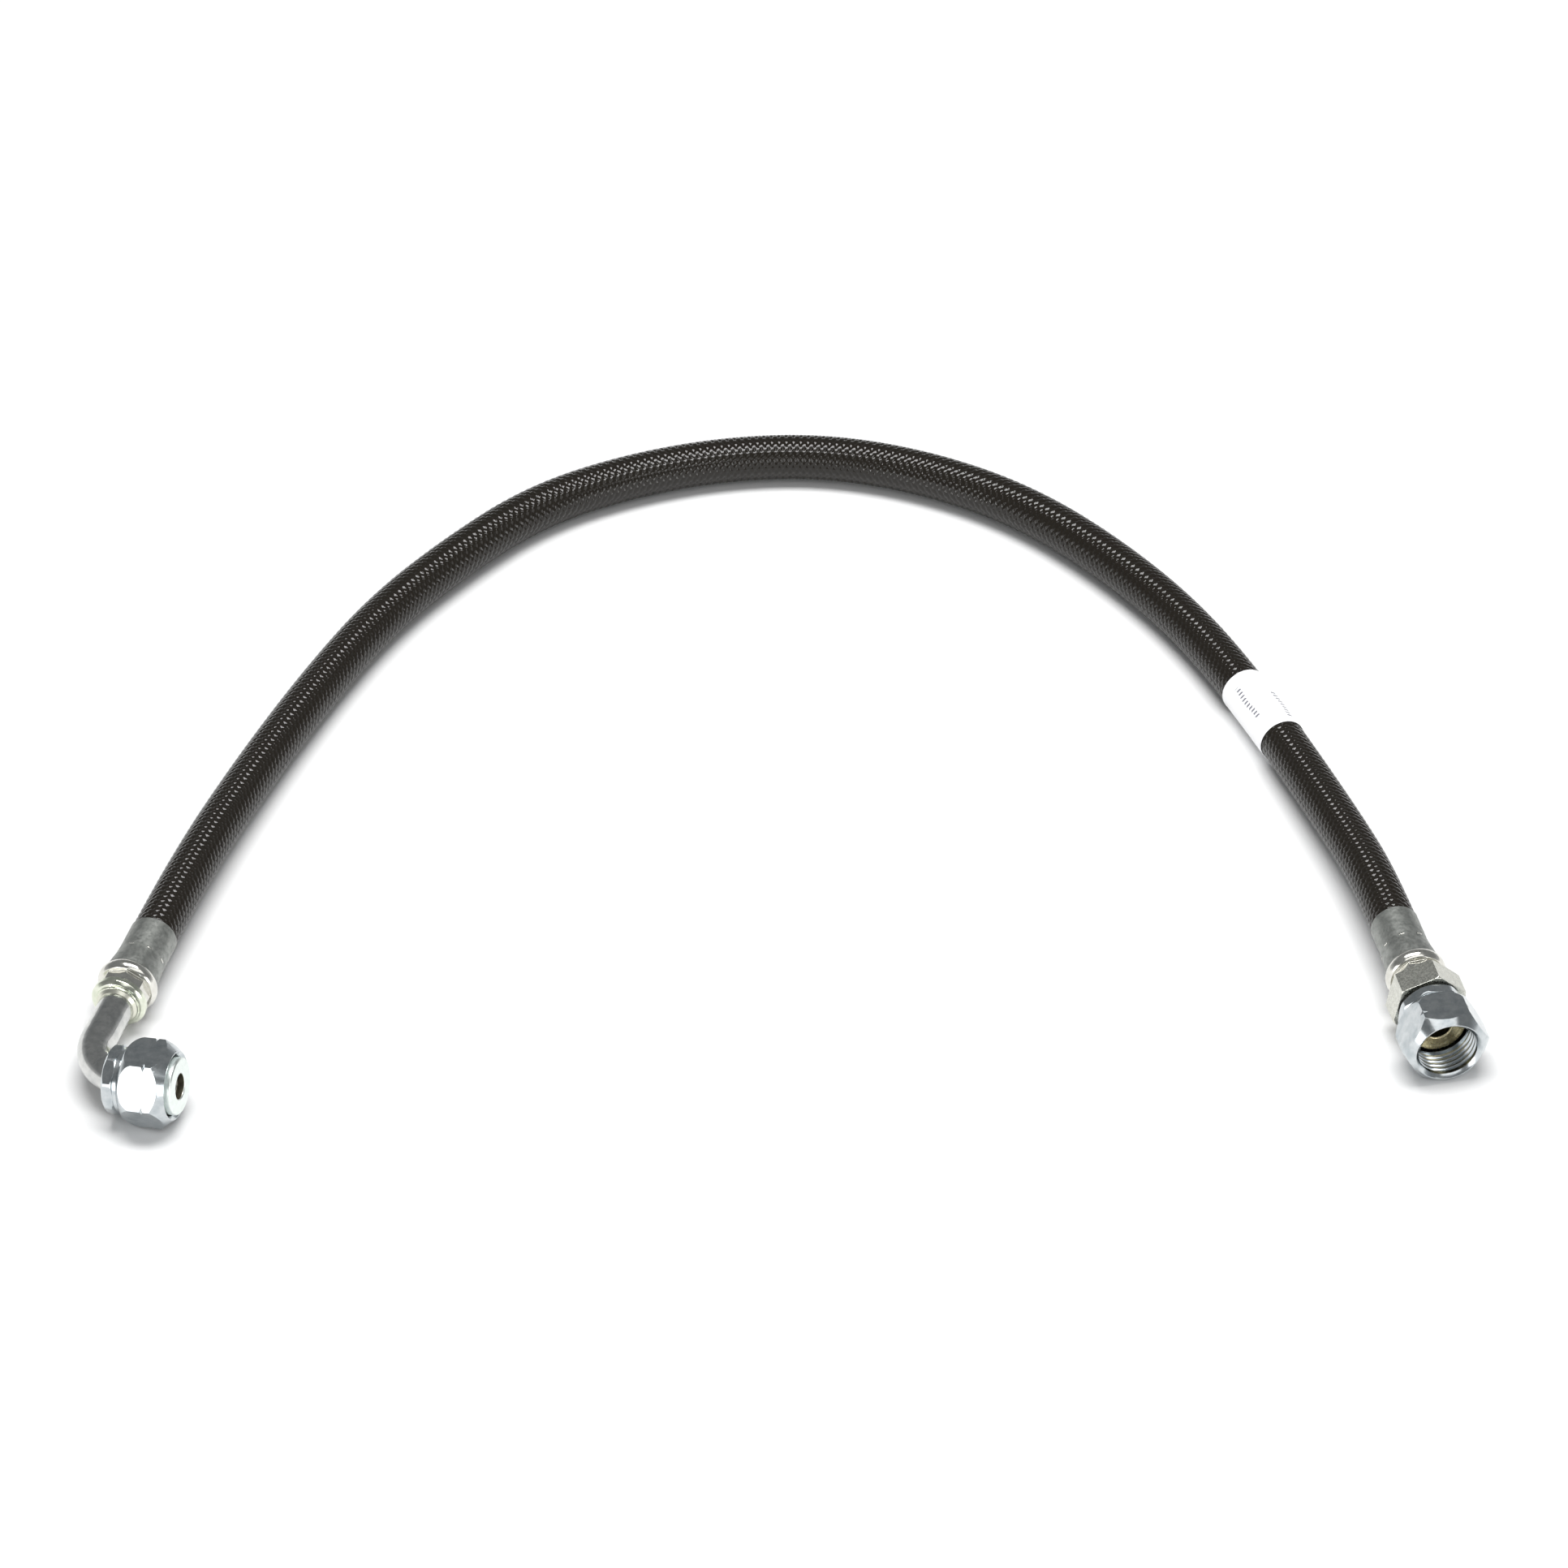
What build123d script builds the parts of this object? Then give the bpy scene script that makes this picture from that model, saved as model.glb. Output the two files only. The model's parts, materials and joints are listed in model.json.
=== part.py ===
from build123d import *
import math
import os

# Hydraulic hose assembly, in millimetres. It lies on a table: +Z is up and the table is Z = 0.
# One end has a brazed 90 degree elbow and the other end is straight. Both carry a swivel nut
# for a flat-face seal. The straight end's nut rests on a flat, the elbow's on its rear edge.
# Diameters end in _od or _bore.

# Hose
hose_od = 12.6
cover_wall = 0.6
braid_wall = 0.6
liner_wall = 1.0
hose_lift = 0.22             # the bare hose's lowest point above the table

# Crimped ferrule, the same at both ends, from its rear edge towards the fitting
ferrule_wall = 0.8
ferrule_edge = 0.25          # chamfer of the rear edge
ferrule_flare_start = 10.3
ferrule_bead_over = 3.8      # how much wider the bead is than the hose
ferrule_bead_at = 20.9
ferrule_bead_width = 3.6
ferrule_bead_rise = 0.85     # how far the bead stands above the flare
ferrule_neck_flats = 12.8
ferrule_neck_sides = 8
ferrule_neck_end = 26.7
hose_insertion = 16.8        # how far braid and liner reach into the ferrule

# Inserts
insert_bore = 5.6
insert_tip = 1.2             # from the ferrule's rear edge to the insert's tip
barb_count = 6
barb_pitch = 2.2
barb_depth = 0.4
shoulder_od = 10.6
shoulder_gap = 0.4           # from the end of the hose to the insert's shoulder
flange_od = 15.0
flange_width = 2.3
flange_chamfer = 0.9
step_od = 12.0               # raised step on the flange, round the tube
step_height = 0.5
hex_flats = 18.0
hex_width = 7.8
hex_turn = 18.0              # degrees from flat side up
hex_gap = 0.2                # from the ferrule to the rear of the wrench hex
hex_chamfer = 0.45

# Bent tube of the elbow
tube_od = 9.53
tube_bore = 6.4
bend_radius = 14.6
bend_start = 14.9            # from the flange's face to the start of the bend
bend_to_face = 13.4          # from the end of the bend to the seal face
tube_in_insert = 4.6         # length of tube brazed into the insert
tube_end_depth = 2.2         # from the seal face down to the end of the tube
braze_size = 0.8

# Flat seal faces
face_od = 15.2
face_bore = 6.8
face_thickness = 4.0
face_edge = 0.4
head_neck_od = 12.4
head_neck_length = 5.2       # neck of the elbow's head, behind its shoulder
bore_chamfer = 0.3

# Swivel nuts: 13/16 in across flats, 11/16-16 thread
nut_flats = 20.64
nut_length = 17.6
ring_flats = 17.5
ring_sides = 8
ring_width = 3.2
ring_turn = -7.0             # degrees between the ring's facets and the nut's flats
ring_clearance = 4.27        # how much wider the ring's bore is than the tube, for its bend
cavity_bore = 16.3           # room for the head, in front of the ring
relief_width = 1.1           # undercut between the cavity and the thread
groove_od = 17.4
groove_width = 0.9
rear_slope = 4.4             # length of the rounded rear chamfer
front_slope = 3.4            # length of the front chamfer, at the corners
rim_od = 18.2                # where the front chamfer meets the mouth
notch_at = 12.0              # from the rear to the small notch across the corners
notch_size = 0.6
thread_minor = 15.96
thread_major = 17.5
thread_pitch = 1.5875
thread_turns = 5
mouth_chamfer = 0.9
nut_to_hex = 0.8             # straight end, nut pushed forward on its shoulder
nut_to_shoulder = 0.2
nut_behind_face = 1.3        # elbow end, nut pushed back behind the seal face

# Label wrapped round the hose
label_width = 25.0
label_wall = 0.18
label_lift = 0.02
label_from_end = 98.0        # from the straight ferrule's rear edge to the label's middle

# Where the fittings lie, seen from above
elbow_drop = 1.5             # the elbow end lies this much lower, as its nut tips back
elbow_exit = (-166.6, -71.8)
elbow_angle = -106.5
elbow_roll = 6.0             # degrees by which the elbow's outlet points up
straight_exit = (161.6, -68.9)
straight_angle = -77.0


def fitting_plane(exit_point, height, angle, roll=0):
    """Local frame of a fitting: X runs out along its axis from the ferrule's rear edge, Z is up,
    and the roll turns it about X."""
    x_dir = Vector(1, 0, 0).rotate(Axis.Z, angle)
    z_dir = Vector(0, 0, 1).rotate(Axis((0, 0, 0), x_dir), roll)
    return Plane(origin=(*exit_point, height), x_dir=x_dir, z_dir=z_dir)


def on_axis(plane, distance):
    point = plane.origin + plane.x_dir * distance
    return (point.X, point.Y, point.Z)


braid_od = hose_od - 2 * cover_wall
liner_od = braid_od - 2 * braid_wall
liner_bore = liner_od - 2 * liner_wall
skirt_od = braid_od + 2 * ferrule_wall
bead_od = hose_od + ferrule_bead_over
ring_bore = max(tube_od + ring_clearance, head_neck_od + 0.6)
straight_height = nut_flats / 2
elbow_height = max(straight_height - elbow_drop, bead_od / 2 + hose_lift)
flange_face = ferrule_neck_end + flange_width
hex_start = ferrule_neck_end + hex_gap
hex_end = hex_start + hex_width
straight_nut_rear = hex_end + nut_to_hex
straight_shoulder = straight_nut_rear + ring_width + nut_to_shoulder
straight_face = straight_shoulder + face_thickness
elbow_face = bend_radius + bend_to_face
elbow_nut_rear = elbow_face - nut_behind_face - nut_length

elbow_plane = fitting_plane(elbow_exit, elbow_height, elbow_angle, elbow_roll)
straight_plane = fitting_plane(straight_exit, straight_height, straight_angle)
outlet_corner = on_axis(elbow_plane, flange_face + bend_start + bend_radius)
outlet_plane = Plane(origin=outlet_corner, x_dir=elbow_plane.y_dir, z_dir=elbow_plane.z_dir)

# The hose's route between the two ferrules
hose_height = hose_od / 2 + hose_lift
route = [
    on_axis(elbow_plane, 0),
    on_axis(elbow_plane, -29),
    (-144, -4, hose_height + 0.8),
    (-127, 36, hose_height + 0.1),
    (-110, 69, hose_height),
    (-90, 95, hose_height),
    (-69, 117, hose_height),
    (-43, 131, hose_height),
    (-15, 139, hose_height),
    (13, 140, hose_height),
    (41, 132, hose_height),
    (67, 117, hose_height),
    (90, 94, hose_height),
    (112, 64, hose_height),
    (131, 24, hose_height + 0.1),
    (151.5, -31.3, hose_height + 2.6),
    on_axis(straight_plane, -16),
    on_axis(straight_plane, 0),
]


def turned(points):
    """Solid of revolution about the local X axis from (position, diameter) points."""
    outline = Polyline([(x, d / 2) for x, d in points], close=True)
    return revolve(make_face(outline), Axis.X)


def prism(flats, sides, start, end, turn):
    """Prism along the local X axis, with one flat turned by an angle from straight up."""
    corner_radius = flats / 2 / math.cos(math.pi / sides)
    face = RegularPolygon(corner_radius, sides, rotation=90 - 180 / sides)
    return Rotation(turn, 0, 0) * extrude(Plane.YZ.offset(start) * face, end - start)


def corner_od(flats, sides):
    return flats / math.cos(math.pi / sides)


def route_radii(points):
    """One arc radius for each inner point, as large as its two runs allow."""
    radii = []
    for before, here, after in zip(points, points[1:], points[2:]):
        run_in = Vector(*here) - Vector(*before)
        run_out = Vector(*after) - Vector(*here)
        half_turn = math.radians(run_in.get_angle(run_out)) / 2
        radii.append(0.45 * min(run_in.length, run_out.length) / math.tan(half_turn))
    return radii


def hose_path(insertion):
    """Centre line of the hose, reaching into both ferrules by the insertion length."""
    inner_points = route[1:-1]
    first = on_axis(elbow_plane, insertion)
    last = on_axis(straight_plane, insertion)
    return FilletPolyline(first, *inner_points, last, radius=route_radii(route))


def sleeve(path, outer, inner):
    """Tube along a path, from two diameters."""
    ring = Circle(outer / 2) - Circle(inner / 2)
    return sweep(Plane(origin=path @ 0, z_dir=path % 0) * ring, path=path)


def label_sleeve():
    path = hose_path(0)
    middle = 1 - label_from_end / path.length
    half = label_width / 2 / path.length
    inner = hose_od + 2 * label_lift
    return sleeve(path.trim(middle - half, middle + half), inner + 2 * label_wall, inner)


def ferrule(neck_turn):
    """Shell crimped over the hose, with a bead left open and an eight-sided crimped neck."""
    skirt = skirt_od / 2
    inside = braid_od / 2
    bead = bead_od / 2
    bead_root = bead - ferrule_bead_rise
    bead_start = ferrule_bead_at - ferrule_bead_width / 2
    bead_end = ferrule_bead_at + ferrule_bead_width / 2
    neck = corner_od(ferrule_neck_flats, ferrule_neck_sides) / 2
    neck_bore = shoulder_od / 2
    pocket = bead_root - ferrule_wall
    flare = (bead_start - ferrule_flare_start) / 3
    outline = [
        Polyline([(0, inside), (0, skirt - ferrule_edge), (ferrule_edge, skirt),
                  (ferrule_flare_start, skirt)]),
        Bezier((ferrule_flare_start, skirt), (ferrule_flare_start + flare, skirt),
               (bead_start - flare, bead_root), (bead_start, bead_root)),
        ThreePointArc((bead_start, bead_root), (ferrule_bead_at, bead), (bead_end, bead_root)),
        Polyline([(bead_end, bead_root), (bead_end, neck), (ferrule_neck_end, neck),
                  (ferrule_neck_end, neck_bore), (bead_end, neck_bore), (bead_end - 1, pocket),
                  (bead_start + 1, pocket), (bead_start - 1, inside), (0, inside)]),
    ]
    shell = revolve(make_face(outline), Axis.X)
    facets = prism(ferrule_neck_flats, ferrule_neck_sides, bead_end, ferrule_neck_end, neck_turn)
    behind = turned([(-1, 0), (-1, 2 * bead), (bead_end, 2 * bead), (bead_end, 0)])
    return shell & (behind + facets)


def barbed_tail():
    """Points of the insert's tail, from its bore at the tip to the shoulder's outer edge."""
    crest = liner_bore
    root = crest - 2 * barb_depth
    points = [(insert_tip, insert_bore), (insert_tip, root)]
    for barb in range(barb_count):
        start = insert_tip + barb * barb_pitch
        points += [(start + barb_pitch * 0.8, crest), (start + barb_pitch * 0.9, crest),
                   (start + barb_pitch * 0.95, root)]
    shoulder = hose_insertion + shoulder_gap
    points += [(shoulder, root), (shoulder, shoulder_od), (ferrule_neck_end, shoulder_od)]
    return points


def elbow_insert():
    step = flange_face + step_height
    points = barbed_tail()
    points += [
        (ferrule_neck_end, flange_od), (flange_face - flange_chamfer, flange_od),
        (flange_face, flange_od - 2 * flange_chamfer), (flange_face, step_od), (step, step_od),
        (step, tube_od), (step - tube_in_insert, tube_od), (step - tube_in_insert, insert_bore),
    ]
    return turned(points)


def elbow_tube():
    """Straight inlet, one bend and a straight outlet that ends inside the head."""
    inlet_start = on_axis(elbow_plane, flange_face + step_height - tube_in_insert)
    outlet_end = on_axis(outlet_plane, elbow_face - tube_end_depth)
    path = FilletPolyline(inlet_start, outlet_corner, outlet_end, radius=bend_radius)
    return sleeve(path, tube_od, tube_bore)


def braze_ring(start, direction):
    """Small fillet of braze round the tube, leaning against a face at its start."""
    end = start + direction * braze_size
    foot = tube_od + 2 * braze_size
    return turned([(start, tube_od), (start, foot), (end, tube_od + 0.3), (end, tube_od)])


def head_points(shoulder):
    """Outer points of a flat-face head, from its shoulder to the edge of its bore."""
    face = shoulder + face_thickness
    return [
        (shoulder, head_neck_od), (shoulder, face_od), (face - face_edge, face_od),
        (face, face_od - 2 * face_edge), (face, face_bore + 2 * bore_chamfer),
        (face - bore_chamfer, face_bore),
    ]


def elbow_head():
    shoulder = elbow_face - face_thickness
    neck_rear = shoulder - head_neck_length
    seat = elbow_face - tube_end_depth
    return turned([(neck_rear, tube_od), (neck_rear, head_neck_od), *head_points(shoulder),
                   (seat, face_bore), (seat, tube_od)])


def straight_insert():
    """Barbed tail, wrench hex and flat-face head in one piece."""
    neck_bore_start = hex_start
    body = turned([
        *barbed_tail(), (ferrule_neck_end, flange_od - 1), (hex_start, flange_od - 1),
        (hex_start, head_neck_od), *head_points(straight_shoulder),
        (neck_bore_start, face_bore), (neck_bore_start, insert_bore),
    ])
    corner = corner_od(hex_flats, 6)
    slope = hex_chamfer * 2
    envelope = turned([
        (hex_start, face_bore), (hex_start, hex_flats - 1), (hex_start + hex_chamfer, corner),
        (hex_end - hex_chamfer, corner), (hex_end, corner - slope), (hex_end, face_bore),
    ])
    return body + (prism(hex_flats, 6, hex_start, hex_end, hex_turn) & envelope)


def nut_envelope():
    """Round shape that limits the hex: rounded rear chamfer and conical front chamfer."""
    corner = corner_od(nut_flats, 6) / 2
    rear = ring_width + groove_width
    rear_end = rear + rear_slope
    groove = groove_od / 2
    outline = [
        Polyline([(rear_end, corner), (nut_length - front_slope, corner),
                  (nut_length, rim_od / 2), (nut_length, 0), (0, 0), (0, groove),
                  (rear, groove)]),
        ThreePointArc((rear, groove), (rear + rear_slope * 0.4, groove + (corner - groove) * 0.66),
                      (rear_end, corner)),
    ]
    return revolve(make_face(outline), Axis.X)


def thread_points():
    """Bore of the nut from its rear to its mouth, with ridges on the thread's pitch."""
    start = nut_length - mouth_chamfer - thread_turns * thread_pitch
    points = [(0, ring_bore), (ring_width, ring_bore), (ring_width, cavity_bore),
              (start - relief_width, cavity_bore), (start - relief_width, thread_major),
              (start, thread_major)]
    flank = thread_pitch * 0.3
    land = thread_pitch * 0.3
    for turn in range(thread_turns):
        ridge = start + turn * thread_pitch
        points += [(ridge + flank, thread_minor), (ridge + flank + land, thread_minor)]
        if turn < thread_turns - 1:
            points += [(ridge + 2 * flank + land, thread_major),
                       (ridge + thread_pitch, thread_major)]
    mouth = nut_length - mouth_chamfer
    points += [(mouth, thread_minor), (nut_length, thread_minor + 2 * mouth_chamfer)]
    return points


def swivel_nut(rear):
    """Nut from its crimped ring to its mouth, with its rear face at a place on the local X axis."""
    hexagon = prism(nut_flats, 6, ring_width, nut_length, 0) & nut_envelope()
    facets = prism(ring_flats, ring_sides, 0, ring_width, ring_turn)
    ring_limit = corner_od(ring_flats, ring_sides) - 0.5
    ring_edge = turned([(0, 0), (0, ring_limit - 1.4), (0.7, ring_limit),
                        (ring_width - 0.5, ring_limit), (ring_width, ring_limit - 1), (ring_width, 0)])
    bore = turned([(-1, 0), (-1, ring_bore), *thread_points(),
                   (nut_length + 1, thread_minor + 2 * mouth_chamfer), (nut_length + 1, 0)])
    corner = corner_od(nut_flats, 6)
    notch = turned([(notch_at - notch_size, corner + 0.2), (notch_at, corner - 2 * notch_size),
                    (notch_at + notch_size, corner + 0.2)])
    nut = (hexagon + (facets & ring_edge)) - bore - notch
    return Location((rear, 0, 0)) * nut


nodes = {
    "hose_liner": sleeve(hose_path(hose_insertion), liner_od, liner_bore),
    "hose_braid": sleeve(hose_path(hose_insertion), braid_od, liner_od),
    "hose_cover": sleeve(hose_path(0), hose_od, braid_od),
    "hose_label": label_sleeve(),
    "elbow_ferrule": elbow_plane * ferrule(17.5 - elbow_roll),
    "elbow_insert": elbow_plane * elbow_insert(),
    "elbow_tube": elbow_tube(),
    "elbow_inlet_braze": elbow_plane * braze_ring(flange_face + step_height, 1),
    "elbow_outlet_braze": outlet_plane * braze_ring(elbow_face - face_thickness - head_neck_length, -1),
    "elbow_head": outlet_plane * elbow_head(),
    "elbow_nut": outlet_plane * swivel_nut(elbow_nut_rear),
    "straight_ferrule": straight_plane * ferrule(2.0),
    "straight_insert": straight_plane * straight_insert(),
    "straight_nut": straight_plane * swivel_nut(straight_nut_rear),
}

os.makedirs("parts", exist_ok=True)
for name, solid in nodes.items():
    export_step(solid, f"parts/{name}.step")
    print(f"{name}: {len(solid.solids())} solid, {solid.volume:.1f} mm3")

cover_path = hose_path(0)
ring_area = math.pi * (hose_od ** 2 - braid_od ** 2) / 4
print("route radii", [round(radius) for radius in route_radii(route)])
print(f"hose length {cover_path.length:.1f}, cover volume by length {ring_area * cover_path.length:.1f}")
boxes = [solid.bounding_box() for solid in nodes.values()]
low = [round(min(tuple(box.min)[axis] for box in boxes), 2) for axis in range(3)]
high = [round(max(tuple(box.max)[axis] for box in boxes), 2) for axis in range(3)]
print("box", low, high)
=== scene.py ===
import json
import math

import bpy
from mathutils import Matrix, Vector

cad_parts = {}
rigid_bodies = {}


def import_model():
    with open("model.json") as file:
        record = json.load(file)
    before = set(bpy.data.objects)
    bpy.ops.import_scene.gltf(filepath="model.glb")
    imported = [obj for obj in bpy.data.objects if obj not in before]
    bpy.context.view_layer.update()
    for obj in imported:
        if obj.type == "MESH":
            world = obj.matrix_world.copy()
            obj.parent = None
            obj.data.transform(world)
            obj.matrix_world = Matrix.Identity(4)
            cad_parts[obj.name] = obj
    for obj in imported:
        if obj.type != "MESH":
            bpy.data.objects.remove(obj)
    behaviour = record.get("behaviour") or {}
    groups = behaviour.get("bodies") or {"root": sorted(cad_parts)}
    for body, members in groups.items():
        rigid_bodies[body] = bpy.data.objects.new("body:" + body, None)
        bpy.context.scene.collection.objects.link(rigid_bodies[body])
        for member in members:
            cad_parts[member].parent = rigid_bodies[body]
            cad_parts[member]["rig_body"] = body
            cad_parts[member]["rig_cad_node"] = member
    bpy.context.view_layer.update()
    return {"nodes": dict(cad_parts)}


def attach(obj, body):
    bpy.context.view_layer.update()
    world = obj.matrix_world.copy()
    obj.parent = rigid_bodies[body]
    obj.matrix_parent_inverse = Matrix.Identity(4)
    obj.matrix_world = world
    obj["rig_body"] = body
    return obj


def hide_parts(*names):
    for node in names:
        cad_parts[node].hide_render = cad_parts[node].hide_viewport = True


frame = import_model()
nodes = frame["nodes"]
mm = 0.001
print("frame loaded")

# Camera: seen from the front, on the arch's own middle line
cameraView = {
    "elevation": 39.3,
    "distance": 2.747,
    "aim": Vector((0.0001, 0.0025, 0)),
    "lens": 232.9,
    "sensor": 36.0,
    "clipEnd": 20.0,
}
tilt = math.radians(cameraView["elevation"])
cameraData = bpy.data.cameras.new("studioCamera")
cameraData.lens = cameraView["lens"]
cameraData.sensor_width = cameraView["sensor"]
cameraData.clip_end = cameraView["clipEnd"]
camera = bpy.data.objects.new("studioCamera", cameraData)
bpy.context.scene.collection.objects.link(camera)
towardsCamera = Vector((0, -math.cos(tilt), math.sin(tilt)))
camera.location = cameraView["aim"] + towardsCamera * cameraView["distance"]
camera.rotation_euler = (math.pi / 2 - tilt, 0, 0)
bpy.context.scene.camera = camera
bpy.context.scene.view_settings.view_transform = "Standard"
print("camera placed")

# Where the two fittings lie; each runs out along its own X from the ferrule's rear edge
layout = {
    "elbowExit": (-166.6 * mm, -71.8 * mm, 8.82 * mm),
    "elbowAngle": -106.5,
    "elbowRoll": 6.0,           # the elbow's outlet points up by this much
    "elbowCorner": 58.5 * mm,   # from the ferrule's rear edge to the corner of the bent tube
    "straightExit": (161.6 * mm, -68.9 * mm, 10.32 * mm),
    "straightAngle": -77.0,
}


def fittingPlace(exitPoint, angle, roll):
    heading = Matrix.Rotation(math.radians(angle), 4, "Z")
    return Matrix.Translation(exitPoint) @ heading @ Matrix.Rotation(math.radians(roll), 4, "X")


def onAxis(place, distance):
    return tuple(place @ Vector((distance, 0, 0)))


elbowPlace = fittingPlace(layout["elbowExit"], layout["elbowAngle"], layout["elbowRoll"])
straightPlace = fittingPlace(layout["straightExit"], layout["straightAngle"], 0)
cornerPlace = elbowPlace @ Matrix.Translation((layout["elbowCorner"], 0, 0))
outletPlace = cornerPlace @ Matrix.Rotation(math.pi / 2, 4, "Z")


def deselectAll():
    if bpy.context.object and bpy.context.object.mode != "OBJECT":
        bpy.ops.object.mode_set(mode="OBJECT")
    bpy.ops.object.select_all(action="DESELECT")


def selectOnly(piece):
    deselectAll()
    piece.select_set(True)
    bpy.context.view_layer.objects.active = piece


# The hose's cover: a thin glossy film drawn tight over a braid of two ways of strands
hoseCover = {
    "points": [
        onAxis(elbowPlace, 0), onAxis(elbowPlace, -0.029),
        (-0.144, -0.004, 0.00732), (-0.127, 0.036, 0.00662), (-0.110, 0.069, 0.00652),
        (-0.090, 0.095, 0.00652), (-0.069, 0.117, 0.00652), (-0.043, 0.131, 0.00652),
        (-0.015, 0.139, 0.00652), (0.013, 0.140, 0.00652), (0.041, 0.132, 0.00652),
        (0.067, 0.117, 0.00652), (0.090, 0.094, 0.00652), (0.112, 0.064, 0.00652),
        (0.131, 0.024, 0.00662), (0.1515, -0.0313, 0.00912),
        onAxis(straightPlace, -0.016), onAxis(straightPlace, 0),
    ],
    "diameter": 0.0126,
    "length": 0.572,
    "braidRadius": 5.7 * mm,
    "strands": 12,              # each way
    "lead": 24.6 * mm,          # length of one full turn of a strand
    "relief": 0.42 * mm,        # from the film's crests down to its hollows
    "weave": 0.70,              # how much a strand rises where it goes over another
    "floor": 0.25,              # strand heights below this lie in the hollows
    "crest": 0.85,              # height of a strand that is not lifted by the weave
    "softness": 0.12,           # blend between the two ways of strands
    "fullness": 1.35,           # above 1 the crests are broader than the hollows
    "lineSteps": 40,
    "rings": 1376,
    "sides": 72,
}


def hoseSpline():
    line = bpy.data.curves.new("hoseLine", "CURVE")
    line.dimensions = "3D"
    spline = line.splines.new("NURBS")
    spline.points.add(len(hoseCover["points"]) - 1)
    for knot, place in zip(spline.points, hoseCover["points"]):
        knot.co = (*place, 1)
    spline.order_u = 3
    spline.use_endpoint_u = True
    spline.resolution_u = hoseCover["lineSteps"]
    lineObject = bpy.data.objects.new("hoseLine", line)
    bpy.context.scene.collection.objects.link(lineObject)
    bpy.context.view_layer.update()
    depsgraph = bpy.context.evaluated_depsgraph_get()
    mesh = bpy.data.meshes.new_from_object(lineObject.evaluated_get(depsgraph))
    line = [vertex.co.copy() for vertex in mesh.vertices]
    bpy.data.meshes.remove(mesh)
    bpy.data.objects.remove(lineObject)
    return line


def spacedAlong(line, start, end, count):
    # points and directions at equal steps between two distances along the line
    travelled = [0.0]
    for here, there in zip(line, line[1:]):
        travelled.append(travelled[-1] + (there - here).length)
    stations = []
    index = 0
    for step in range(count):
        distance = start + (end - start) * step / (count - 1)
        while index < len(line) - 2 and travelled[index + 1] < distance:
            index += 1
        span = travelled[index + 1] - travelled[index]
        share = min(max((distance - travelled[index]) / span, 0), 1)
        before = line[max(index - 1, 0)]
        after = line[min(index + 2, len(line) - 1)]
        centre = line[index].lerp(line[index + 1], share)
        stations.append((centre, (after - before).normalized(), distance))
    return stations


def lineLength(line):
    return sum((there - here).length for here, there in zip(line, line[1:]))


def braidHeight(along, turnShare):
    # 0 in the hollows and 1 on the crests of a one-over one-under weave
    first = hoseCover["strands"] * (turnShare + along / hoseCover["lead"])
    second = hoseCover["strands"] * (turnShare - along / hoseCover["lead"])
    firstIndex, secondIndex = round(first), round(second)
    firstSign = 1 if firstIndex % 2 == 0 else -1
    secondSign = 1 if secondIndex % 2 == 0 else -1
    weave = hoseCover["weave"]
    over = weave * firstSign * math.cos(math.pi * second)
    over += math.cos(math.pi * (first - firstIndex))
    under = -weave * secondSign * math.cos(math.pi * first)
    under += math.cos(math.pi * (second - secondIndex))
    softness = hoseCover["softness"]
    top = max(over, under)
    gap = min(over, under) - top
    blended = top + softness * math.log(1 + math.exp(gap / softness))
    rise = min(max((blended - hoseCover["floor"]) / (hoseCover["crest"] + weave), 0), 1)
    return 1 - (1 - rise) ** hoseCover["fullness"]


def tubeMesh(name, stations, sides, radiusAt, closeRadius):
    # rings along the stations, closed at both ends down to an inner radius, with a UV map of
    # distance along (in metres) and share of a turn
    vertices, faces, uvs = [], [], []
    rows = []
    for index, (centre, direction, distance) in enumerate(stations):
        side = direction.cross(Vector((0, 0, 1))).normalized()
        top = side.cross(direction).normalized()
        if index == 0:
            rows.append((centre, side, top, distance, closeRadius))
        rows.append((centre, side, top, distance, None))
        if index == len(stations) - 1:
            rows.append((centre, side, top, distance, closeRadius))
    for centre, side, top, distance, fixedRadius in rows:
        for column in range(sides):
            turnShare = column / sides
            angle = 2 * math.pi * turnShare
            radius = fixedRadius or radiusAt(distance, turnShare)
            vertices.append(centre + (side * math.cos(angle) + top * math.sin(angle)) * radius)
    for row in range(len(rows) - 1):
        for column in range(sides):
            following = (column + 1) % sides
            faces.append((row * sides + column, (row + 1) * sides + column,
                          (row + 1) * sides + following, row * sides + following))
            uvs += [(rows[row][3], column / sides), (rows[row + 1][3], column / sides),
                    (rows[row + 1][3], (column + 1) / sides), (rows[row][3], (column + 1) / sides)]
    mesh = bpy.data.meshes.new(name)
    mesh.from_pydata(vertices, [], faces)
    layer = mesh.uv_layers.new(name="along")
    for index, uv in enumerate(uvs):
        layer.data[index].uv = uv
    mesh.polygons.foreach_set("use_smooth", [True] * len(mesh.polygons))
    mesh.update()
    piece = bpy.data.objects.new(name, mesh)
    bpy.context.scene.collection.objects.link(piece)
    return piece


def coverRadius(along, turnShare):
    return hoseCover["diameter"] / 2 - hoseCover["relief"] * (1 - braidHeight(along, turnShare))


hoseLinePoints = hoseSpline()
hoseLineLength = lineLength(hoseLinePoints)
coverStations = spacedAlong(hoseLinePoints, 0, hoseLineLength, hoseCover["rings"])
cover = tubeMesh("hoseCover", coverStations, hoseCover["sides"], coverRadius,
                 hoseCover["braidRadius"])
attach(cover, "hose_run")
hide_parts("hose_cover")
print("hose cover made, length", round(hoseLineLength, 4))

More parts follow.
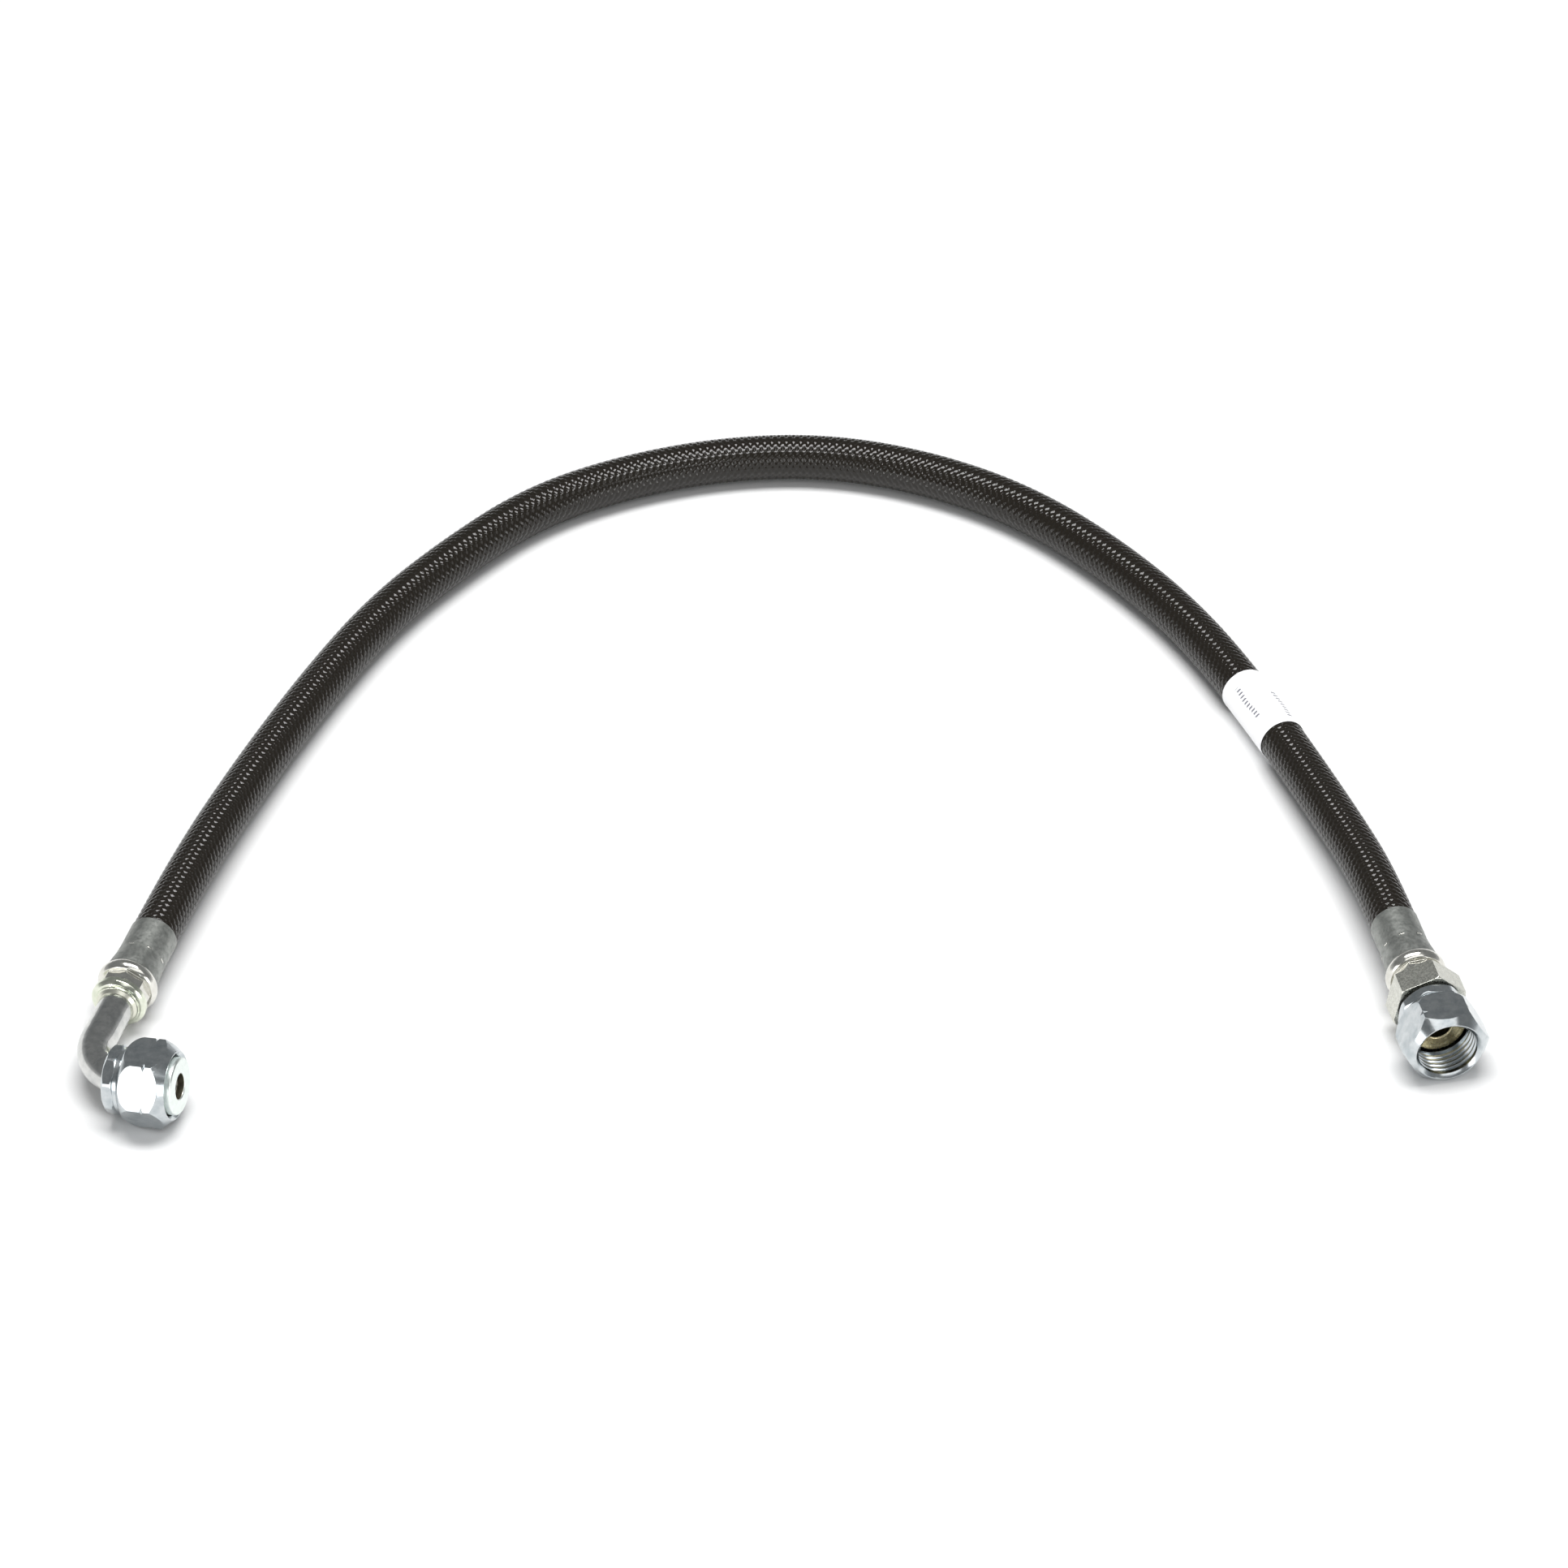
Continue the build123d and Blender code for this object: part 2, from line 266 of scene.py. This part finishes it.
# The white label wrapped round the hose near its straight end
label = {
    "width": 25.0 * mm,
    "fromEnd": 98.0 * mm,
    "outerRadius": 6.5 * mm,
    "innerRadius": 6.32 * mm,
    "edge": 0.05 * mm,
    "rings": 60,
    "sides": 96,
}
labelMiddle = hoseLineLength - label["fromEnd"]
labelStart, labelEnd = labelMiddle - label["width"] / 2, labelMiddle + label["width"] / 2


def labelRadius(along, turnShare):
    toEdge = min(along - labelStart, labelEnd - along)
    return label["outerRadius"] - (label["edge"] if toEdge < label["edge"] else 0)


labelStations = spacedAlong(hoseLinePoints, labelStart, labelEnd, label["rings"])
labelPiece = tubeMesh("hoseLabel", labelStations, label["sides"], labelRadius, label["innerRadius"])
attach(labelPiece, "hose_run")
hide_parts("hose_label")
print("label made")


# The metal parts keep their machined shapes, with every sharp edge rounded a little
softEdges = {
    "elbow_ferrule": 0.10 * mm,
    "elbow_insert": 0.12 * mm,
    "elbow_tube": 0.10 * mm,
    "elbow_head": 0.12 * mm,
    "elbow_nut": 0.16 * mm,
    "straight_ferrule": 0.10 * mm,
    "straight_insert": 0.12 * mm,
    "straight_nut": 0.16 * mm,
}
edgeLook = {
    "bevelAbove": math.radians(28),
    "bevelSteps": 2,
    "smoothBelow": math.radians(34),
    "weldWithin": 0.002 * mm,
    "flatWithin": math.radians(0.5),
    "flatWeight": 90,
}


def softenedPart(nodeName, width):
    source = nodes[nodeName]
    piece = source.copy()
    piece.data = source.data.copy()
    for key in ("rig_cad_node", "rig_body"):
        if key in piece:
            del piece[key]
    piece.parent = None
    piece.name = "soft_" + nodeName
    bpy.context.scene.collection.objects.link(piece)
    selectOnly(piece)
    bpy.ops.object.mode_set(mode="EDIT")
    bpy.ops.mesh.select_all(action="SELECT")
    bpy.ops.mesh.remove_doubles(threshold=edgeLook["weldWithin"])
    bpy.ops.mesh.dissolve_limited(angle_limit=edgeLook["flatWithin"])
    bpy.ops.object.mode_set(mode="OBJECT")
    bevel = piece.modifiers.new("edges", "BEVEL")
    bevel.width = width
    bevel.segments = edgeLook["bevelSteps"]
    bevel.limit_method = "ANGLE"
    bevel.angle_limit = edgeLook["bevelAbove"]
    bevel.miter_outer = "MITER_ARC"
    bpy.ops.object.modifier_apply(modifier=bevel.name)
    bpy.ops.object.shade_smooth_by_angle(angle=edgeLook["smoothBelow"])
    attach(piece, fkBody[nodeName])
    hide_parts(nodeName)
    print("softened", nodeName, len(piece.data.polygons), "faces")
    return piece


# Short dashes that the crimping dies leave round the ferrules; further down they are painted with
# the lighter bead plating as a painted highlight
crimpMarks = {
    "at": 11.2 * mm,            # from the ferrule's rear edge
    "radius": 6.52 * mm,        # of the ferrule where they are
    "count": 8,
    "length": 1.5 * mm,
    "width": 0.42 * mm,
    "proud": 0.14 * mm,
    "edge": 0.09 * mm,
    "edgeSteps": 2,
    "turn": 12.0,
}


def addCrimpMarks(piece, place):
    deselectAll()
    marks = []
    for index in range(crimpMarks["count"]):
        angle = math.radians(crimpMarks["turn"] + 360 * index / crimpMarks["count"])
        bpy.ops.mesh.primitive_cube_add(size=1)
        mark = bpy.context.object
        mark.scale = (crimpMarks["width"], crimpMarks["length"], 2 * crimpMarks["proud"])
        bpy.ops.object.transform_apply(location=False, rotation=False, scale=True)
        edge = mark.modifiers.new("edge", "BEVEL")
        edge.width = crimpMarks["edge"]
        edge.segments = crimpMarks["edgeSteps"]
        bpy.ops.object.modifier_apply(modifier=edge.name)
        outwards = Matrix.Translation((crimpMarks["at"], 0, crimpMarks["radius"]))
        around = Matrix.Rotation(angle, 4, "X") @ outwards
        mark.data.transform(place @ around)
        mark.data.update()
        marks.append(mark)
    selectOnly(piece)
    for mark in marks:
        mark.select_set(True)
    bpy.ops.object.join()
    bpy.ops.object.shade_smooth_by_angle(angle=edgeLook["smoothBelow"])


fkBody = {name: "hose_run" for name in softEdges}
fkBody["elbow_nut"] = "elbow_nut_body"
fkBody["straight_nut"] = "straight_nut_body"
softParts = {name: softenedPart(name, width) for name, width in softEdges.items()}

for nodeName, place in (("elbow_ferrule", elbowPlace), ("straight_ferrule", straightPlace)):
    addCrimpMarks(softParts[nodeName], place)
print("crimp marks added")

# Flat faces stay flat to their edges, and only the rounded edges shade as round
for piece in softParts.values():
    selectOnly(piece)
    flats = piece.modifiers.new("flats", "WEIGHTED_NORMAL")
    flats.mode = "FACE_AREA"
    flats.weight = edgeLook["flatWeight"]
    flats.keep_sharp = True
    bpy.ops.object.modifier_apply(modifier=flats.name)
print("normals weighted")


# Finishes
def newFinish(name, colour, metallic, roughness):
    finish = bpy.data.materials.new(name)
    finish.use_nodes = True
    shader = finish.node_tree.nodes["Principled BSDF"]
    shader.inputs["Base Color"].default_value = (*colour, 1)
    shader.inputs["Metallic"].default_value = metallic
    shader.inputs["Roughness"].default_value = roughness
    return finish, finish.node_tree.nodes, finish.node_tree.links, shader


def objectNoise(treeNodes, links, scale, detail, roughness):
    place = treeNodes.new("ShaderNodeTexCoord")
    noise = treeNodes.new("ShaderNodeTexNoise")
    noise.inputs["Scale"].default_value = scale
    noise.inputs["Detail"].default_value = detail
    noise.inputs["Roughness"].default_value = roughness
    links.new(place.outputs["Object"], noise.inputs["Vector"])
    return noise


def ramp(treeNodes, links, source, stops):
    node = treeNodes.new("ShaderNodeValToRGB")
    links.new(source, node.inputs["Fac"])
    while len(node.color_ramp.elements) < len(stops):
        node.color_ramp.elements.new(0.5)
    for element, (position, colour) in zip(node.color_ramp.elements, stops):
        element.position = position
        element.color = (*colour, 1) if hasattr(colour, "__len__") else (colour, colour, colour, 1)
    return node


def bumpFrom(treeNodes, links, source, shader, strength, distance):
    bump = treeNodes.new("ShaderNodeBump")
    bump.inputs["Strength"].default_value = strength
    bump.inputs["Distance"].default_value = distance
    links.new(source, bump.inputs["Height"])
    links.new(bump.outputs["Normal"], shader.inputs["Normal"])


def mathNode(operation, first, second=0.0, third=0.0):
    node = treeNodes.new("ShaderNodeMath")
    node.operation = operation
    for socket, value in zip(node.inputs, (first, second, third)):
        if isinstance(value, bpy.types.NodeSocket):
            links.new(value, socket)
        else:
            socket.default_value = value
    return node.outputs[0]


def alongHose():
    # distance along the hose in metres, and share of a turn, from the UV map of the hose's pieces
    along = treeNodes.new("ShaderNodeUVMap")
    along.uv_map = "along"
    split = treeNodes.new("ShaderNodeSeparateXYZ")
    links.new(along.outputs["UV"], split.inputs["Vector"])
    return split.outputs["X"], split.outputs["Y"]


# A black film that shows the edges of every strand under it
filmLook = {
    "colour": (0.0115, 0.0092, 0.0065),
    "gloss": 0.09,
    "refraction": 1.43,
    "softness": 0.2,            # blend between the two ways of strands
    "crest": 1.15,              # above this the strands are flat
    "bump": 0.8,
    "bumpDepth": 0.12 * mm,
}
filmFinish, treeNodes, links, shader = newFinish("glossyFilm", filmLook["colour"], 0,
                                                 filmLook["gloss"])
shader.inputs["IOR"].default_value = filmLook["refraction"]
distance, turnShare = alongHose()
turned = mathNode("DIVIDE", distance, hoseCover["lead"])
strandTurns = math.pi * hoseCover["strands"]
firstTurn = mathNode("MULTIPLY", mathNode("ADD", turnShare, turned), strandTurns)
secondTurn = mathNode("MULTIPLY", mathNode("SUBTRACT", turnShare, turned), strandTurns)
firstWay = mathNode("COSINE", firstTurn)
secondWay = mathNode("COSINE", secondTurn)
over = mathNode("MULTIPLY_ADD", mathNode("MULTIPLY", mathNode("SIGN", firstWay), secondWay),
                hoseCover["weave"], mathNode("ABSOLUTE", firstWay))
under = mathNode("MULTIPLY_ADD", mathNode("MULTIPLY", mathNode("SIGN", secondWay), firstWay),
                 -hoseCover["weave"], mathNode("ABSOLUTE", secondWay))
blended = mathNode("SMOOTH_MAX", over, under, filmLook["softness"])
crest = mathNode("MINIMUM", blended, filmLook["crest"])
bumpFrom(treeNodes, links, crest, shader, filmLook["bump"], filmLook["bumpDepth"])

# Zinc plating: two colours in soft patches, and two degrees of gloss in finer streaks
zincLook = {
    "patches": {"detail": 5, "roughness": 0.62, "from": 0.35, "to": 0.62},
    "streaks": {"detail": 4, "roughness": 0.6, "from": 0.36, "to": 0.66},
    "finer": 2.4,               # grain of the streaks against that of the patches
    "bump": 0.02,
    "bumpDepth": 0.01 * mm,
}
zincFinishes = {
    "nutPlate": {"dark": (0.46, 0.50, 0.52), "light": (0.62, 0.65, 0.66),
                 "smooth": 0.15, "rough": 0.21, "grain": 330},
    "flangePlate": {"dark": (0.66, 0.70, 0.57), "light": (0.80, 0.82, 0.71),
                    "smooth": 0.16, "rough": 0.24, "grain": 520},
    "tubePlate": {"dark": (0.50, 0.51, 0.50), "light": (0.66, 0.66, 0.64),
                  "smooth": 0.12, "rough": 0.20, "grain": 380},
    "headPlate": {"dark": (0.77, 0.83, 0.79), "light": (0.83, 0.88, 0.85),
                  "smooth": 0.30, "rough": 0.36, "grain": 620},
    "wrenchPlate": {"dark": (0.52, 0.52, 0.47), "light": (0.66, 0.66, 0.60),
                    "smooth": 0.22, "rough": 0.34, "grain": 900},
    "seatPlate": {"dark": (0.56, 0.48, 0.30), "light": (0.76, 0.68, 0.45),
                  "smooth": 0.22, "rough": 0.32, "grain": 420},
    "skirtPlate": {"dark": (0.25, 0.26, 0.245), "light": (0.36, 0.37, 0.35),
                   "smooth": 0.42, "rough": 0.56, "grain": 520},
    # the crimp marks get this plating too, where its lighter colour is a painted highlight
    "beadPlate": {"dark": (0.66, 0.65, 0.60), "light": (0.78, 0.77, 0.72),
                  "smooth": 0.12, "rough": 0.20, "grain": 520},
    "borePlate": {"dark": (0.30, 0.28, 0.21), "light": (0.48, 0.45, 0.34),
                  "smooth": 0.28, "rough": 0.42, "grain": 600},
}


def zincFinish(plateName):
    values = zincFinishes[plateName]
    finish, treeNodes, links, shader = newFinish(plateName, values["light"], 1, values["smooth"])
    look = zincLook["patches"]
    patches = objectNoise(treeNodes, links, values["grain"], look["detail"], look["roughness"])
    colour = ramp(treeNodes, links, patches.outputs["Fac"],
                  [(look["from"], values["dark"]), (look["to"], values["light"])])
    links.new(colour.outputs["Color"], shader.inputs["Base Color"])
    look = zincLook["streaks"]
    streaks = objectNoise(treeNodes, links, values["grain"] * zincLook["finer"], look["detail"],
                          look["roughness"])
    gloss = ramp(treeNodes, links, streaks.outputs["Fac"],
                 [(look["from"], values["smooth"]), (look["to"], values["rough"])])
    links.new(gloss.outputs["Color"], shader.inputs["Roughness"])
    bumpFrom(treeNodes, links, streaks.outputs["Fac"], shader, zincLook["bump"],
             zincLook["bumpDepth"])
    return finish


# Plain finishes: colour, metallic, roughness
plainFinishes = {
    "braze": ((0.72, 0.72, 0.62), 1, 0.3),
    "liner": ((0.78, 0.78, 0.74), 0, 0.4),
    "braid": ((0.5, 0.5, 0.5), 1, 0.35),
}
plain = {name: newFinish(name, *values)[0] for name, values in plainFinishes.items()}

# Label film with two rows of plain grey dashes printed along the hose
labelPrint = {
    # share of a turn at the middle, half the height, and start and end along the label
    "rows": [(0.130, 0.017, 4.5 * mm, 18.5 * mm), (0.345, 0.019, 10.5 * mm, 22.5 * mm)],
    "gloss": 0.32,
    "waves": 4100,              # radians for each metre
    "waveHeight": 0.35,         # share of half the height
    "pitch": 1.35 * mm,
    "dash": 0.45,               # inked share of each pitch
    "ink": (0.20, 0.20, 0.23),
    "film": (0.93, 0.93, 0.94),
}
labelFinish, treeNodes, links, shader = newFinish("labelFilm", labelPrint["film"], 0,
                                                  labelPrint["gloss"])
distance, turnShare = alongHose()
fromStart = mathNode("SUBTRACT", distance, labelStart)
cell = mathNode("FRACT", mathNode("DIVIDE", fromStart, labelPrint["pitch"]))
inked = mathNode("LESS_THAN", cell, labelPrint["dash"])
rowsInk = 0.0
for middle, halfHeight, start, end in labelPrint["rows"]:
    lengthwise = mathNode("MULTIPLY", mathNode("GREATER_THAN", fromStart, start),
                          mathNode("LESS_THAN", fromStart, end))
    wave = mathNode("SINE", mathNode("MULTIPLY", fromStart, labelPrint["waves"]))
    wobble = mathNode("MULTIPLY", wave, halfHeight * labelPrint["waveHeight"])
    near = mathNode("ABSOLUTE", mathNode("SUBTRACT", mathNode("ADD", turnShare, wobble), middle))
    row = mathNode("MULTIPLY", mathNode("LESS_THAN", near, halfHeight), lengthwise)
    rowsInk = mathNode("MAXIMUM", rowsInk, row)
ink = mathNode("MULTIPLY", inked, rowsInk)
printed = treeNodes.new("ShaderNodeMix")
printed.data_type = "RGBA"
links.new(ink, printed.inputs["Factor"])
printed.inputs["A"].default_value = (*labelPrint["film"], 1)
printed.inputs["B"].default_value = (*labelPrint["ink"], 1)
links.new(printed.outputs["Result"], shader.inputs["Base Color"])

plates = {plateName: zincFinish(plateName) for plateName in zincFinishes}
finishOf = {
    "hose_liner": (plain["liner"], "liner_polymer"),
    "hose_braid": (plain["braid"], "braid_steel"),
    "elbow_ferrule": (plates["skirtPlate"], "crimped_zinc"),
    "straight_ferrule": (plates["skirtPlate"], "crimped_zinc"),
    "elbow_insert": (plates["flangePlate"], "bright_zinc"),
    "elbow_tube": (plates["tubePlate"], "bright_zinc"),
    "elbow_head": (plates["headPlate"], "bright_zinc"),
    "straight_insert": (plates["wrenchPlate"], "bright_zinc"),
    "elbow_nut": (plates["nutPlate"], "nut_zinc"),
    "straight_nut": (plates["nutPlate"], "nut_zinc"),
    "elbow_inlet_braze": (plain["braze"], "braze"),
    "elbow_outlet_braze": (plain["braze"], "braze"),
}


def paint(piece, finish):
    piece.data.materials.clear()
    piece.data.materials.append(finish)


paint(cover, filmFinish)
paint(labelPiece, labelFinish)
for nodeName, (finish, slotName) in finishOf.items():
    piece = softParts.get(nodeName, nodes[nodeName])
    paint(piece, finish)


def paintWhere(piece, place, finish, test):
    # a second finish on the faces whose middle, in the fitting's own axes, passes the test
    piece.data.materials.append(finish)
    index = len(piece.data.materials) - 1
    toLocal = place.inverted()
    for face in piece.data.polygons:
        middle = toLocal @ face.center
        flatness = abs((toLocal.to_3x3() @ face.normal).x)
        if test(middle.x, math.hypot(middle.y, middle.z), flatness):
            face.material_index = index


# Where a second finish begins, in each fitting's own axes
finishEdges = {
    "bead": 19.0 * mm,          # from the ferrule's rear edge
    "mark": 6.58 * mm,          # radius above which a face is a crimp mark's
    "seat": 38.2 * mm,          # from the ferrule's rear edge
    "bore": 3.6 * mm,           # radius below which a face is the bore's
    "steep": 0.5,               # a face with less than this along the axis is a wall
}


# The bead has the brighter plating as its own finish; on the crimp marks the same lighter colour is
# a painted highlight standing in for the glint of the dents
def onBeadOrHighlightedMark(x, radius, flatness):
    nearMarks = abs(x - crimpMarks["at"]) < crimpMarks["width"]
    return x > finishEdges["bead"] or (nearMarks and radius > finishEdges["mark"])


def onSeat(x, radius, flatness):
    return x > finishEdges["seat"]


def inBore(x, radius, flatness):
    return radius < finishEdges["bore"] and flatness < finishEdges["steep"]


# Painted highlight: the crimp marks get the lighter bead plating so that they read as bright dashes
for nodeName, place in (("elbow_ferrule", elbowPlace), ("straight_ferrule", straightPlace)):
    paintWhere(softParts[nodeName], place, plates["beadPlate"], onBeadOrHighlightedMark)
paintWhere(softParts["straight_insert"], straightPlace, plates["seatPlate"], onSeat)
for nodeName, place in (("elbow_head", outletPlace), ("straight_insert", straightPlace)):
    paintWhere(softParts[nodeName], place, plates["borePlate"], inBore)
print("finishes set")

# Floor and lights
floorLook = {"size": 12, "below": 0.2 * mm, "colour": (0.80, 0.80, 0.80), "roughness": 0.9,
             "shine": 0.1}
deselectAll()
bpy.ops.mesh.primitive_plane_add(size=floorLook["size"], location=(0, 0, -floorLook["below"]))
floor = bpy.context.object
floor.name = "studioFloor"
floorFinish, treeNodes, links, shader = newFinish("paleFloor", floorLook["colour"], 0,
                                                  floorLook["roughness"])
shader.inputs["Specular IOR Level"].default_value = floorLook["shine"]
paint(floor, floorFinish)

softLights = {
    "overhead": {"at": (0.0, 0.10, 1.9), "aim": (0, 0.03, 0),
                 "size": (1.5, 0.75), "power": 42},
    "frontLeft": {"at": (-1.24, -1.38, 0.38), "aim": (-0.10, -0.10, 0),
                  "size": (1.15, 0.72), "power": 6},
    "frontRight": {"at": (1.16, -1.39, 0.38), "aim": (0.0, -0.12, 0),
                   "size": (0.85, 0.7), "power": 7},
    "highCard": {"at": (0.35, -0.95, 1.50), "aim": (0, -0.10, 0),
                 "size": (1.9, 0.8), "power": 5.5},
    "spark": {"at": (-1.30, -1.30, 0.10), "aim": (0, 0, 0),
              "size": (0.12, 0.12), "power": 1.6},
}
for lightName, values in softLights.items():
    lightData = bpy.data.lights.new(lightName, "AREA")
    lightData.shape = "RECTANGLE"
    lightData.size, lightData.size_y = values["size"]
    lightData.energy = values["power"]
    light = bpy.data.objects.new(lightName, lightData)
    bpy.context.scene.collection.objects.link(light)
    light.location = values["at"]
    beam = Vector(values["aim"]) - Vector(values["at"])
    light.rotation_euler = beam.to_track_quat("-Z", "Y").to_euler()

# Brightness of the room from the horizon up
skyStops = [(0.0, (0.8, 0.8, 0.8)), (0.05, (0.50, 0.51, 0.52)), (0.30, (0.225, 0.232, 0.235)),
            (1.0, (0.20, 0.205, 0.208))]
studio = bpy.data.worlds.new("studio")
bpy.context.scene.world = studio
studio.use_nodes = True
treeNodes, links = studio.node_tree.nodes, studio.node_tree.links
direction = treeNodes.new("ShaderNodeTexCoord")
split = treeNodes.new("ShaderNodeSeparateXYZ")
links.new(direction.outputs["Generated"], split.inputs["Vector"])
sky = ramp(treeNodes, links, split.outputs["Z"], skyStops)
links.new(sky.outputs["Color"], treeNodes["Background"].inputs["Color"])
treeNodes["Background"].inputs["Strength"].default_value = 1.0
print("studio lit")
